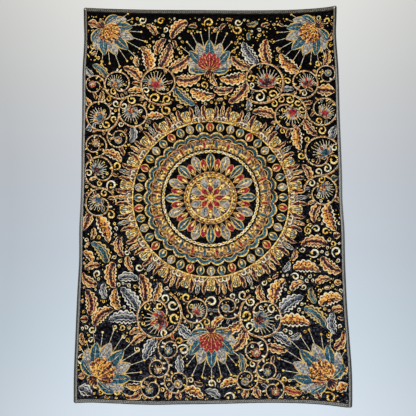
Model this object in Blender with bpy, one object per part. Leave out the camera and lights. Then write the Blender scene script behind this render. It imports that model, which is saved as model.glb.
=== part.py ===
"""Thangka wall hanging: one jacquard-woven panel with a thick binding round its four edges.

It hangs flat against a wall by its top edge, with no rod. X runs across, Y into the wall, Z up.
The origin is the middle of the top edge, on the plane of the wall. Lengths are in metres.
"""

import math

import bmesh
import bpy

MM = 0.001

# Flat size of the hanging, outer edge to outer edge, before it was hung
WIDTH = 598 * MM
HEIGHT = 905 * MM

# The woven panel and the binding that is folded over its edges
CLOTH_THICKNESS = 1.0 * MM
BINDING_WALL = 0.9 * MM
BINDING_NOSE = 1.2 * MM
FIT_GAP = 0.3 * MM
SIDE_BINDING_WIDTH = 8.0 * MM
TOP_BINDING_WIDTH = 10.5 * MM
BOTTOM_BINDING_WIDTH = 9.0 * MM
LIP_ROUND = 0.4 * MM
NOSE_STEPS = 4

# Depths measured from the wall, at the binding's back face
CLOTH_BACK = BINDING_WALL + FIT_GAP
CLOTH_FRONT = CLOTH_BACK + CLOTH_THICKNESS
BINDING_FRONT = CLOTH_FRONT + FIT_GAP + BINDING_WALL
PANEL_INSET = BINDING_NOSE + FIT_GAP

# Mesh steps across and down the hanging
STEPS_ACROSS = 24
STEPS_DOWN = 36

# Where the four corners hang. Columns: across, height.
TOP_LEFT = (-299.5 * MM, 10.85 * MM)
TOP_RIGHT = (298.5 * MM, 6.35 * MM)
BOTTOM_LEFT = (-297.0 * MM, -894.95 * MM)
BOTTOM_RIGHT = (302.0 * MM, -899.15 * MM)

# How far each edge strays from the straight line between its corners.
# Columns: share of the way along the edge, shift in mm. Top and bottom shift up, the sides shift right.
TOP_SAG = (
    (0.00, 0.0), (0.06, -2.0), (0.16, -4.6), (0.30, -7.0), (0.47, -8.4), (0.61, -9.8),
    (0.80, -10.0), (0.89, -7.6), (0.96, -4.1), (1.00, 0.0),
)
BOTTOM_WAVE = (
    (0.00, 0.0), (0.07, 3.0), (0.15, 0.9), (0.23, -0.6), (0.40, 0.9), (0.55, 3.6),
    (0.69, 8.2), (0.80, 7.1), (0.91, 4.2), (0.97, 1.4), (1.00, 0.0),
)
LEFT_PULL = (
    (0.00, 0.0), (0.04, 1.4), (0.09, 3.5), (0.17, 1.1), (0.25, 2.1), (0.38, 3.6), (0.50, 4.1),
    (0.58, 2.5), (0.66, 3.8), (0.74, 1.6), (0.85, -0.2), (0.93, -1.2), (1.00, 0.0),
)
RIGHT_PULL = (
    (0.00, 0.0), (0.03, -1.4), (0.08, -4.2), (0.17, -1.4), (0.30, -2.1), (0.42, -1.8), (0.50, -3.3),
    (0.58, -0.9), (0.66, -2.0), (0.77, -1.4), (0.85, 1.0), (0.92, 2.7), (0.98, 1.1), (1.00, 0.0),
)

# Soft ridges where the cloth stands off the wall. Columns: start and end of the ridge line as shares
# across and down, half width in mm, height in mm.
RIDGES = (
    (0.03, 0.04, 0.30, 0.42, 42, 2.6),
    (0.97, 0.04, 0.64, 0.36, 48, 3.0),
    (0.00, 0.37, 0.20, 0.45, 30, 1.8),
    (1.00, 0.47, 0.80, 0.52, 32, 2.2),
    (0.45, 0.30, 0.55, 0.80, 120, 1.6),
    (0.08, 1.00, 0.13, 0.74, 34, 3.8),
    (0.30, 1.00, 0.34, 0.86, 36, 2.0),
    (0.69, 1.00, 0.61, 0.68, 56, 5.2),
    (1.00, 1.00, 0.91, 0.80, 44, 4.6),
)
# The top edge is held against the wall down to the first depth, and the ridges have grown in full at the second
HELD_FLAT = 16 * MM
RIDGES_FULL = 95 * MM

# Colours as linear values
CLOTH_COLOUR = (0.150, 0.105, 0.062, 1.0)
BINDING_COLOUR = (0.135, 0.122, 0.105, 1.0)


def shift_at(rows, share):
    """Reads an edge table as a smooth curve through its rows, in metres."""
    share = min(max(share, 0.0), 1.0)
    slopes = []
    for i in range(len(rows)):
        before, after = rows[max(i - 1, 0)], rows[min(i + 1, len(rows) - 1)]
        slopes.append((after[1] - before[1]) / (after[0] - before[0]))
    for i in range(len(rows) - 1):
        (s0, m0), (s1, m1) = rows[i], rows[i + 1]
        if share <= s1:
            break
    run = s1 - s0
    t = (share - s0) / run
    value = (
        (2 * t**3 - 3 * t**2 + 1) * m0
        + (t**3 - 2 * t**2 + t) * run * slopes[i]
        + (3 * t**2 - 2 * t**3) * m1
        + (t**3 - t**2) * run * slopes[i + 1]
    )
    return value * MM


def smooth_step(low, high, value):
    t = min(max((value - low) / (high - low), 0.0), 1.0)
    return t * t * (3 - 2 * t)


def stand_off(across, down):
    """How far the cloth stands off the wall at a flat place, from the soft ridges."""
    height = 0.0
    for start_u, start_v, end_u, end_v, half_width, ridge_height in RIDGES:
        start_x, start_z = start_u * WIDTH, start_v * HEIGHT
        run_x, run_z = end_u * WIDTH - start_x, end_v * HEIGHT - start_z
        along = ((across - start_x) * run_x + (down - start_z) * run_z) / (run_x**2 + run_z**2)
        along = min(max(along, 0.0), 1.0)
        away = math.hypot(across - start_x - along * run_x, down - start_z - along * run_z)
        height += ridge_height * MM * math.exp(-((away / (half_width * MM)) ** 2))
    return height * smooth_step(HELD_FLAT, RIDGES_FULL, down)


def hang(across, down, depth):
    """Moves a point of the flat hanging to where it hangs.

    across runs from the left edge, down from the top edge, and depth from the wall.
    """
    u, v = across / WIDTH, down / HEIGHT
    x = (1 - v) * ((1 - u) * TOP_LEFT[0] + u * TOP_RIGHT[0])
    x += v * ((1 - u) * BOTTOM_LEFT[0] + u * BOTTOM_RIGHT[0])
    x += (1 - u) * shift_at(LEFT_PULL, v) + u * shift_at(RIGHT_PULL, v)
    z = (1 - v) * ((1 - u) * TOP_LEFT[1] + u * TOP_RIGHT[1])
    z += v * ((1 - u) * BOTTOM_LEFT[1] + u * BOTTOM_RIGHT[1])
    z += (1 - v) * shift_at(TOP_SAG, u) + v * shift_at(BOTTOM_WAVE, u)
    return (x, -(depth + stand_off(across, down)), z)


def steps(start, end, count):
    return [start + (end - start) * i / count for i in range(count + 1)]


def wrap_section(width):
    """The U of a binding that is folded over the cloth's edge. Columns: inset from the outer edge, depth."""
    middle = BINDING_FRONT / 2
    section = [(width, BINDING_FRONT - LIP_ROUND), (width - LIP_ROUND, BINDING_FRONT)]
    for i in range(NOSE_STEPS + 1):
        turn = math.pi * (0.5 + i / NOSE_STEPS)
        section.append((BINDING_NOSE * (1 + math.cos(turn)), middle + middle * math.sin(turn)))
    section += [(width, 0.0), (width, BINDING_WALL)]
    section += [(BINDING_NOSE, BINDING_WALL), (BINDING_NOSE, BINDING_FRONT - BINDING_WALL)]
    section.append((width, BINDING_FRONT - BINDING_WALL))
    return section


def fabric(name, colour, roughness):
    material = bpy.data.materials.new(name)
    material.use_nodes = True
    shader = material.node_tree.nodes["Principled BSDF"]
    shader.inputs["Base Color"].default_value = colour
    shader.inputs["Roughness"].default_value = roughness
    shader.inputs["Metallic"].default_value = 0.0
    return material


def add_solid(name, mesh_in_progress, material):
    """Turns a bmesh into a closed, smooth-shaded object with its faces pointing out."""
    bmesh.ops.recalc_face_normals(mesh_in_progress, faces=mesh_in_progress.faces)
    mesh = bpy.data.meshes.new(name)
    mesh_in_progress.to_mesh(mesh)
    mesh_in_progress.free()
    mesh.materials.append(material)
    mesh.shade_smooth()
    mesh.set_sharp_from_angle(angle=math.radians(40))
    part = bpy.data.objects.new(name, mesh)
    bpy.context.scene.collection.objects.link(part)
    return part


def woven_panel(material):
    """The one-piece jacquard cloth, with its cut edges inside the binding."""
    sheet = bmesh.new()
    acrosses = steps(PANEL_INSET, WIDTH - PANEL_INSET, STEPS_ACROSS)
    downs = steps(PANEL_INSET, HEIGHT - PANEL_INSET, STEPS_DOWN)
    faces = []
    for depth in (CLOTH_FRONT, CLOTH_BACK):
        grid = [[sheet.verts.new(hang(a, d, depth)) for a in acrosses] for d in downs]
        for row, below in zip(grid, grid[1:]):
            for i in range(STEPS_ACROSS):
                sheet.faces.new((row[i], row[i + 1], below[i + 1], below[i]))
        faces.append(grid)
    front, back = faces
    rims = [
        (front[0], back[0]),
        (front[-1], back[-1]),
        ([row[0] for row in front], [row[0] for row in back]),
        ([row[-1] for row in front], [row[-1] for row in back]),
    ]
    for front_edge, back_edge in rims:
        for i in range(len(front_edge) - 1):
            sheet.faces.new((front_edge[i], front_edge[i + 1], back_edge[i + 1], back_edge[i]))
    return add_solid("woven_panel", sheet, material)


def binding(name, width, stations, place, material):
    """A strip of binding swept along one edge. place turns a station and an inset into across and down."""
    strip = bmesh.new()
    section = wrap_section(width)
    rings = []
    for station in stations:
        ring = []
        for inset, depth in section:
            across, down = place(station, inset)
            ring.append(strip.verts.new(hang(across, down, depth)))
        rings.append(ring)
    for ring, following in zip(rings, rings[1:]):
        for i in range(len(section)):
            j = (i + 1) % len(section)
            strip.faces.new((ring[i], ring[j], following[j], following[i]))
    strip.faces.new(rings[0])
    strip.faces.new(rings[-1])
    return add_solid(name, strip, material)


def build():
    for thing in list(bpy.data.objects):
        bpy.data.objects.remove(thing)
    cloth = fabric("jacquard_cloth", CLOTH_COLOUR, 0.75)
    yarn = fabric("binding_yarn", BINDING_COLOUR, 0.8)
    woven_panel(cloth)
    between_sides = SIDE_BINDING_WIDTH + FIT_GAP
    across_run = steps(between_sides, WIDTH - between_sides, STEPS_ACROSS)
    down_run = steps(0.0, HEIGHT, STEPS_DOWN)
    binding("binding_left", SIDE_BINDING_WIDTH, down_run, lambda s, inset: (inset, s), yarn)
    binding("binding_right", SIDE_BINDING_WIDTH, down_run, lambda s, inset: (WIDTH - inset, s), yarn)
    binding("binding_top", TOP_BINDING_WIDTH, across_run, lambda s, inset: (s, inset), yarn)
    binding("binding_bottom", BOTTOM_BINDING_WIDTH, across_run, lambda s, inset: (s, HEIGHT - inset), yarn)


build()
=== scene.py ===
"""The looks of a thangka wall hanging: a jacquard-woven brocade panel with a thick stitched binding.

Flat coordinates are in millimetres on the cloth before it was hung: x from its middle, y upwards from
its top edge, level from the cloth's face. The function hang turns them into the place where they hang.
"""
import math
import random

import bmesh
import bpy
import numpy as np
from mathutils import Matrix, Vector


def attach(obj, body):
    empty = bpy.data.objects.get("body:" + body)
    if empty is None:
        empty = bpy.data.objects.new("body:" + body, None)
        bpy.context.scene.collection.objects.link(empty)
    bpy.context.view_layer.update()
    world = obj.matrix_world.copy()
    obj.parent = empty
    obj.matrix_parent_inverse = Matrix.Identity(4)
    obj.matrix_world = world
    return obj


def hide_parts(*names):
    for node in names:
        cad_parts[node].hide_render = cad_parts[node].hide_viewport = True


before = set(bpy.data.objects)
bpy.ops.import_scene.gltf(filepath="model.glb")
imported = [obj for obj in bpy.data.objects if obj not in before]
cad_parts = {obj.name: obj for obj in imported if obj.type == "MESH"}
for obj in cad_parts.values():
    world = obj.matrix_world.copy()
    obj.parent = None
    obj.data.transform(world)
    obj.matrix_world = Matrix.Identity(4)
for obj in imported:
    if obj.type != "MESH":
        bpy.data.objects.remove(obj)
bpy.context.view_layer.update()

MM = 0.001
TURN = 2 * math.pi

# The flat cloth and its binding, in mm
WIDTH = 598.0
HEIGHT = 905.0
SIDE_BINDING = 8.0
TOP_BINDING = 10.5
BOTTOM_BINDING = 9.0
CLOTH_BACK = 1.2
CLOTH_FRONT = 2.2
CUT_EDGE_INSET = 1.5
CORNER_RADIUS = 4.5

# Where the four corners hang, in mm. Columns: across from the middle, height.
TOP_LEFT = (-299.5, 10.85)
TOP_RIGHT = (298.5, 6.35)
BOTTOM_LEFT = (-297.0, -894.95)
BOTTOM_RIGHT = (302.0, -899.15)

# How far each edge strays from the straight line between its corners.
# Columns: share of the way along the edge, shift in mm. Top and bottom shift up, the sides shift right.
TOP_SAG = (
    (0.00, 0.0), (0.06, -2.0), (0.16, -4.6), (0.30, -7.0), (0.47, -8.4), (0.61, -9.8),
    (0.80, -10.0), (0.89, -7.6), (0.96, -4.1), (1.00, 0.0),
)
BOTTOM_WAVE = (
    (0.00, 0.0), (0.07, 3.0), (0.15, 0.9), (0.23, -0.6), (0.40, 0.9), (0.55, 3.6),
    (0.69, 8.2), (0.80, 7.1), (0.91, 4.2), (0.97, 1.4), (1.00, 0.0),
)
LEFT_PULL = (
    (0.00, 0.0), (0.04, 1.4), (0.09, 3.5), (0.17, 1.1), (0.25, 2.1), (0.38, 3.6), (0.50, 4.1),
    (0.58, 2.5), (0.66, 3.8), (0.74, 1.6), (0.85, -0.2), (0.93, -1.2), (1.00, 0.0),
)
RIGHT_PULL = (
    (0.00, 0.0), (0.03, -1.4), (0.08, -4.2), (0.17, -1.4), (0.30, -2.1), (0.42, -1.8), (0.50, -3.3),
    (0.58, -0.9), (0.66, -2.0), (0.77, -1.4), (0.85, 1.0), (0.92, 2.7), (0.98, 1.1), (1.00, 0.0),
)

# Soft ridges where the cloth stands off the wall. Columns: start and end of the ridge line as shares
# across and down, half width in mm, height in mm.
RIDGES = (
    (0.03, 0.04, 0.30, 0.42, 42, 2.6),
    (0.97, 0.04, 0.64, 0.36, 48, 3.0),
    (0.00, 0.37, 0.20, 0.45, 30, 1.8),
    (1.00, 0.47, 0.80, 0.52, 32, 2.2),
    (0.45, 0.30, 0.55, 0.80, 120, 1.6),
    (0.08, 1.00, 0.13, 0.74, 34, 3.8),
    (0.30, 1.00, 0.34, 0.86, 36, 2.0),
    (0.69, 1.00, 0.61, 0.68, 56, 5.2),
    (1.00, 1.00, 0.91, 0.80, 44, 4.6),
)
# The top edge is held against the wall down to the first depth, and the ridges have grown in full at
# the second, in mm.
HELD_FLAT = 16.0
RIDGES_FULL = 95.0


def shift_at(rows, share):
    """Reads an edge table as a smooth curve through its rows."""
    shares, shifts = np.array(rows).T
    last = len(shares) - 1
    before, after = np.r_[0, :last], np.r_[1 : last + 1, last]
    slopes = (shifts[after] - shifts[before]) / (shares[after] - shares[before])
    share = np.clip(share, 0.0, 1.0)
    i = np.clip(np.searchsorted(shares, share, side="right") - 1, 0, last - 1)
    run = shares[i + 1] - shares[i]
    t = (share - shares[i]) / run
    return (
        (2 * t**3 - 3 * t**2 + 1) * shifts[i]
        + (t**3 - 2 * t**2 + t) * run * slopes[i]
        + (3 * t**2 - 2 * t**3) * shifts[i + 1]
        + (t**3 - t**2) * run * slopes[i + 1]
    )


def stand_off(across, down):
    """How far the cloth stands off the wall at a flat place, in mm."""
    height = np.zeros_like(across)
    for start_u, start_v, end_u, end_v, half_width, ridge_height in RIDGES:
        start_x, start_z = start_u * WIDTH, start_v * HEIGHT
        run_x, run_z = end_u * WIDTH - start_x, end_v * HEIGHT - start_z
        along = ((across - start_x) * run_x + (down - start_z) * run_z) / (run_x**2 + run_z**2)
        along = np.clip(along, 0.0, 1.0)
        away = np.hypot(across - start_x - along * run_x, down - start_z - along * run_z)
        height += ridge_height * np.exp(-((away / half_width) ** 2))
    grown = np.clip((down - HELD_FLAT) / (RIDGES_FULL - HELD_FLAT), 0.0, 1.0)
    return height * grown * grown * (3 - 2 * grown)


def round_corners(x, y):
    """Draws the flat points near the four square corners in, so that the corners are round."""
    middle = -HEIGHT / 2
    past_x = abs(x) - WIDTH / 2 + CORNER_RADIUS
    past_y = abs(y - middle) - HEIGHT / 2 + CORNER_RADIUS
    at_corner = (past_x > 0) & (past_y > 0)
    squeeze = np.maximum(past_x, past_y) / (np.hypot(past_x, past_y) + 1e-9)
    squeeze = np.where(at_corner, squeeze, 1.0)
    x = np.where(at_corner, np.sign(x) * (abs(x) - past_x * (1 - squeeze)), x)
    y_from_middle = np.sign(y - middle) * (abs(y - middle) - past_y * (1 - squeeze))
    return x, np.where(at_corner, middle + y_from_middle, y)


def hang(flat):
    """Moves flat points, rows of x, y and level in mm, to where they hang, in metres."""
    flat_x, flat_y = round_corners(flat[:, 0], flat[:, 1])
    across = flat_x + WIDTH / 2
    down = -flat_y
    u, v = across / WIDTH, down / HEIGHT
    corners = np.array((TOP_LEFT, TOP_RIGHT, BOTTOM_LEFT, BOTTOM_RIGHT))
    shares = np.stack(((1 - u) * (1 - v), u * (1 - v), (1 - u) * v, u * v), axis=1)
    x, z = (shares @ corners).T
    x += (1 - u) * shift_at(LEFT_PULL, v) + u * shift_at(RIGHT_PULL, v)
    z += (1 - v) * shift_at(TOP_SAG, u) + v * shift_at(BOTTOM_WAVE, u)
    y = -(CLOTH_FRONT + flat[:, 2] + stand_off(across, down))
    return np.stack((x, y, z), axis=1) * MM


# Small helpers


def linear(hex_colour):
    """Turns an sRGB hex colour into a linear one."""
    channels = [int(hex_colour[i : i + 2], 16) / 255 for i in (1, 3, 5)]
    return [c / 12.92 if c <= 0.04045 else ((c + 0.055) / 1.055) ** 2.4 for c in channels] + [1.0]


def add_node(tree, kind, links=None, **settings):
    """Adds a node. Settings are its own; links give an input a value or another node's output."""
    node = tree.nodes.new(kind)
    for name, value in settings.items():
        setattr(node, name, value)
    for socket, source in (links or {}).items():
        if isinstance(source, bpy.types.NodeSocket):
            tree.links.new(source, node.inputs[socket])
        else:
            node.inputs[socket].default_value = source
    return node


def weighed_sum(tree, start, *terms):
    """Adds the products of pairs, each of a factor and a node's output, to a starting number."""
    total = start
    for factor, socket in terms:
        links = {0: socket, 1: factor, 2: total}
        total = add_node(tree, "ShaderNodeMath", links, operation="MULTIPLY_ADD").outputs[0]
    return total


def add_piece(name, mesh, *materials):
    """Puts a mesh into the scene as an object at the origin."""
    for material in materials:
        mesh.materials.append(material)
    piece = bpy.data.objects.new(name, mesh)
    bpy.context.scene.collection.objects.link(piece)
    return piece


def store(mesh, name, values, kind="FLOAT"):
    """Keeps a number or a vector for each point of a mesh."""
    attribute = mesh.attributes.new(name, kind, "POINT")
    field = "vector" if kind == "FLOAT_VECTOR" else "value"
    attribute.data.foreach_set(field, np.asarray(values, dtype=np.float32).ravel())


def hang_mesh(mesh):
    """Hangs a mesh that was made flat, and keeps its flat place in the attribute weave."""
    flat = np.empty(len(mesh.vertices) * 3, dtype=np.float32)
    mesh.vertices.foreach_get("co", flat)
    store(mesh, "weave", flat, "FLOAT_VECTOR")
    hung = hang(flat.reshape(-1, 3).astype(np.float64))
    mesh.vertices.foreach_set("co", hung.astype(np.float32).ravel())
    mesh.update()


def tidy_normals(mesh, sharp=50):
    """Points the faces of closed shells outwards and shades them smooth."""
    shell = bmesh.new()
    shell.from_mesh(mesh)
    bmesh.ops.recalc_face_normals(shell, faces=shell.faces)
    shell.to_mesh(mesh)
    shell.free()
    mesh.shade_smooth()
    mesh.set_sharp_from_angle(angle=math.radians(sharp))


# Geometry node trees, one for each thing that repeats or follows a path


def new_tree(name, **sizes):
    """Starts a geometry node tree with a geometry input and output, and a named input for each size."""
    tree = bpy.data.node_groups.new(name, "GeometryNodeTree")
    tree.interface.new_socket("Geometry", in_out="INPUT", socket_type="NodeSocketGeometry")
    for title, value in sizes.items():
        kind = "NodeSocketInt" if isinstance(value, int) else "NodeSocketFloat"
        title = title.replace("_", " ").capitalize()
        tree.interface.new_socket(title, in_out="INPUT", socket_type=kind).default_value = value
    tree.interface.new_socket("Geometry", in_out="OUTPUT", socket_type="NodeSocketGeometry")
    return tree, add_node(tree, "NodeGroupInput").outputs


def end_tree(tree, geometry, material):
    """Ends a tree with real geometry of one material."""
    realized = add_node(tree, "GeometryNodeRealizeInstances", {"Geometry": geometry})
    links = {"Geometry": realized.outputs[0], "Material": material}
    finished = add_node(tree, "GeometryNodeSetMaterial", links)
    add_node(tree, "NodeGroupOutput", {"Geometry": finished.outputs[0]})
    return tree


def run_tree(name, source, tree, **inputs):
    """Runs a geometry node tree on a flat mesh and gives back the result as a plain hung piece."""
    carrier = add_piece(name, source)
    modifier = carrier.modifiers.new(name, "NODES")
    modifier.node_group = tree
    given = [item for item in tree.interface.items_tree if item.in_out == "INPUT"]
    sockets = {item.name: item.identifier for item in given}
    for title, value in inputs.items():
        modifier[sockets[title.replace("_", " ").capitalize()]] = value
    graph = bpy.context.evaluated_depsgraph_get()
    mesh = bpy.data.meshes.new_from_object(carrier.evaluated_get(graph), depsgraph=graph)
    carrier.modifiers.remove(modifier)
    carrier.data = mesh
    bpy.data.meshes.remove(source)
    mesh.name = name
    hang_mesh(mesh)
    tidy_normals(mesh)
    return carrier


def raised_float_tree(material):
    """Sweeps flat paths into raised floats, as wide as each path says, with their crown in the middle."""
    tree, given = new_tree("raised_floats", points_across=3)
    named = {}
    for title in ("half_width", "rise", "across"):
        reader = add_node(tree, "GeometryNodeInputNamedAttribute", {"Name": title}, data_type="FLOAT")
        named[title] = reader.outputs[0]
    paths = add_node(tree, "GeometryNodeMeshToCurve", {"Mesh": given["Geometry"]})
    paths = add_node(tree, "GeometryNodeSetCurveNormal", {"Curve": paths.outputs[0]}, mode="Z_UP")
    links = {"Start": (-1, 0, 0), "End": (1, 0, 0)}
    section = add_node(tree, "GeometryNodeCurvePrimitiveLine", links)
    links = {"Curve": section.outputs[0], "Count": given["Points across"]}
    section = add_node(tree, "GeometryNodeResampleCurve", links)
    links = {"Geometry": section.outputs[0], "Cyclic": True}
    section = add_node(tree, "GeometryNodeSetSplineCyclic", links)
    place = add_node(tree, "GeometryNodeInputPosition")
    across = add_node(tree, "ShaderNodeSeparateXYZ", {"Vector": place.outputs[0]})
    links = {"Geometry": section.outputs[0], "Name": "across", "Value": across.outputs["X"]}
    section = add_node(
        tree, "GeometryNodeStoreNamedAttribute", links, data_type="FLOAT", domain="POINT"
    )
    links = {
        "Curve": paths.outputs[0],
        "Profile Curve": section.outputs[0],
        "Scale": named["half_width"],
        "Fill Caps": True,
    }
    swept_paths = add_node(tree, "GeometryNodeCurveToMesh", links)
    squared = weighed_sum(tree, 0.0, (named["across"], named["across"]))
    crown = weighed_sum(tree, 1.0, (-1.0, squared))
    height = weighed_sum(tree, 0.0, (named["rise"], crown))
    lift = add_node(tree, "ShaderNodeCombineXYZ", {"Z": height})
    links = {"Geometry": swept_paths.outputs[0], "Offset": lift.outputs[0]}
    raised = add_node(tree, "GeometryNodeSetPosition", links)
    return end_tree(tree, raised.outputs[0], material)


def grain_tree(material):
    """Puts a low round knot of thread on each point, as large as the point says, no deeper than the
    cloth."""
    tree, given = new_tree("grains", height_share=0.4, deepest=0.8)
    size = add_node(
        tree, "GeometryNodeInputNamedAttribute", {"Name": "half_width"}, data_type="FLOAT"
    )
    links = {0: size.outputs[0], 1: given["Height share"]}
    height = add_node(tree, "ShaderNodeMath", links, operation="MULTIPLY")
    links = {0: height.outputs[0], 1: given["Deepest"]}
    height = add_node(tree, "ShaderNodeMath", links, operation="MINIMUM")
    links = {"X": size.outputs[0], "Y": size.outputs[0], "Z": height.outputs[0]}
    scale = add_node(tree, "ShaderNodeCombineXYZ", links)
    links = {"Segments": 8, "Rings": 5, "Radius": 1.0}
    grain = add_node(tree, "GeometryNodeMeshUVSphere", links)
    links = {"Points": given["Geometry"], "Instance": grain.outputs[0], "Scale": scale.outputs[0]}
    grains = add_node(tree, "GeometryNodeInstanceOnPoints", links)
    return end_tree(tree, grains.outputs[0], material)


def along_edge(tree, given, shape, seed):
    """Repeats a shape along the edge line at the tree's pitch, turned to the edge and slightly uneven."""
    edge = add_node(tree, "GeometryNodeMeshToCurve", {"Mesh": given["Geometry"]})
    links = {"Curve": edge.outputs[0], "Length": given["Pitch"]}
    places = add_node(tree, "GeometryNodeResampleCurve", links, mode="LENGTH")
    turn = add_node(tree, "ShaderNodeCombineXYZ", {"Z": given["Turn"]})
    turn = add_node(tree, "FunctionNodeEulerToRotation", {"Euler": turn.outputs[0]})
    links = {"Min": (0.93, 0.9, 0.88), "Max": (1.05, 1.08, 1.1), "Seed": seed}
    uneven = add_node(tree, "FunctionNodeRandomValue", links, data_type="FLOAT_VECTOR")
    links = {
        "Points": places.outputs[0],
        "Instance": shape,
        "Rotation": turn.outputs[0],
        "Scale": uneven.outputs[0],
    }
    return add_node(tree, "GeometryNodeInstanceOnPoints", links).outputs[0]


def round_yarn(tree, path, radius, caps=False):
    """Sweeps a path into round yarn, with caps on its ends if it isn't closed."""
    section = add_node(tree, "GeometryNodeCurvePrimitiveCircle", {"Resolution": 6, "Radius": radius})
    links = {"Curve": path, "Profile Curve": section.outputs[0], "Fill Caps": caps}
    return add_node(tree, "GeometryNodeCurveToMesh", links).outputs[0]


# The yarn wraps over the edge, in mm: their levels on the face and behind, and how far they slant
WRAP_FRONT = 0.55
WRAP_BACK = -1.75
WRAP_SLANT = 0.7
WRAP_RADIUS = 1.15
# The chain's loops, in mm, and their tilt in radians, which lets each pass under the next
LOOP_HALF_LENGTH = 3.1
LOOP_LEVEL = 1.05
LOOP_TILT = 0.12
LOOP_YARN = 0.7


def wrap_tree(material):
    """Yarn that wraps over the edge, strand by strand. Local x is the inset from the edge."""
    tree, given = new_tree("edge_wraps", pitch=2.4, turn=0.0, reach=8.0, nose_handle=-2.0)
    ends = [
        add_node(tree, "ShaderNodeCombineXYZ", {"X": given[inset], "Y": slant, "Z": level}).outputs[0]
        for inset in ("Reach", "Nose handle")
        for slant, level in ((-WRAP_SLANT, WRAP_FRONT), (WRAP_SLANT, WRAP_BACK))
    ]
    links = {
        "Resolution": 11,
        "Start": ends[0],
        "Start Handle": ends[2],
        "End Handle": ends[3],
        "End": ends[1],
    }
    path = add_node(tree, "GeometryNodeCurvePrimitiveBezierSegment", links)
    links = {"Curve": path.outputs[0]}
    path = add_node(tree, "GeometryNodeSetCurveNormal", links, mode="MINIMUM_TWIST")
    strand = round_yarn(tree, path.outputs[0], WRAP_RADIUS, caps=True)
    return end_tree(tree, along_edge(tree, given, strand, 3), material)


def chain_tree(material):
    """A chain of yarn loops on the face of the binding, each loop passing under the next."""
    tree, given = new_tree("edge_chain", pitch=4.8, turn=0.0, inset=4.8, half_width=2.0)
    loop = add_node(tree, "GeometryNodeCurvePrimitiveCircle", {"Resolution": 12, "Radius": 1.0})
    links = {"X": given["Half width"], "Y": LOOP_HALF_LENGTH, "Z": 1.0}
    size = add_node(tree, "ShaderNodeCombineXYZ", links)
    place = add_node(tree, "ShaderNodeCombineXYZ", {"X": given["Inset"], "Z": LOOP_LEVEL})
    links = {
        "Geometry": loop.outputs[0],
        "Translation": place.outputs[0],
        "Rotation": (LOOP_TILT, 0.0, 0.0),
        "Scale": size.outputs[0],
    }
    loop = add_node(tree, "GeometryNodeTransform", links)
    yarn = round_yarn(tree, loop.outputs[0], LOOP_YARN)
    return end_tree(tree, along_edge(tree, given, yarn, 8), material)


def fastening_tree(material):
    """Sweeps closed paths into round yarn."""
    tree, given = new_tree("fastening_yarn", yarn=0.55)
    path = add_node(tree, "GeometryNodeMeshToCurve", {"Mesh": given["Geometry"]})
    return end_tree(tree, round_yarn(tree, path.outputs[0], given["Yarn"]), material)


# Materials

PICK_PITCH = 1.5  # the real picks lie 0.5 mm apart, drawn coarser so that they show
WAVE_UNIT = 0.314159  # a wave texture of scale 1 repeats every 0.314 units
LOOSE_FLOAT = (9.0, 1.6)  # a loose float of the reverse, three times its real thickness so that it shows
FLOAT_CELL = (3.0, 2.5)  # one float of the weave, about three times its size so that its grain shows

# Thread colours, dark to light
RUST_THREADS = ("#08080b", "#1c1520", "#45222e", "#7f392b", "#b8692e", "#dc943c", "#efba5a")
SLATE_THREADS = ("#0a0a0d", "#1a1b21", "#31343d", "#4c5058", "#6d7076", "#94928f")
COPPER_THREADS = ("#4a2a1c", "#865030", "#b0743a", "#cf974c", "#e6ba70")
GOLD_THREADS = ("#573719", "#a87228", "#d29d3a", "#eac458", "#f7e09c")
CREAM_THREADS = ("#a3946f", "#cfbd92", "#e9dcb6", "#f7f0da")
TEAL_THREADS = ("#0e1d24", "#183743", "#28505f", "#46707c")
RED_THREADS = ("#3f1216", "#74191f", "#9e1f28", "#b8433a")
GREY_THREADS = ("#38383d", "#5b5c60", "#85837f", "#b4aea2")
HALO_THREADS = ("#2a2021", "#5b5360", "#7d5a3c", "#a37438", "#b98f50", "#d6c294")
GROUND_THREADS = ("#020203", "#070609", "#111014", "#212127", "#383a42", "#5b5d65")
WARM_REVERSE = ("#121013", "#241a1b", "#4a2f25", "#7a4b2b", "#a5793f", "#c9a15a")
COOL_REVERSE = ("#101013", "#1c1c20", "#33343a", "#54555a", "#7d786e", "#a59c88")

# The binding's yarns, from the top of the cloth to its bottom. Their change down the cloth is painted
# light and shade: darkest and warmest at the top, paler and cooler further down.
YARN_TONES_WITH_PAINTED_LIGHT = {
    "binding_core_yarn": ("#1b1815", "#26231f", "#26231f", "#1e1c1a"),
    "binding_wrap_yarn": ("#2a251f", "#57544f", "#77746d", "#4a4741"),
    "binding_chain_yarn": ("#8b8272", "#b3b0a8", "#aeaba4", "#9c9991"),
    "fastening_yarn": ("#d3ccc2", "#d3ccc2"),
}

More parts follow.
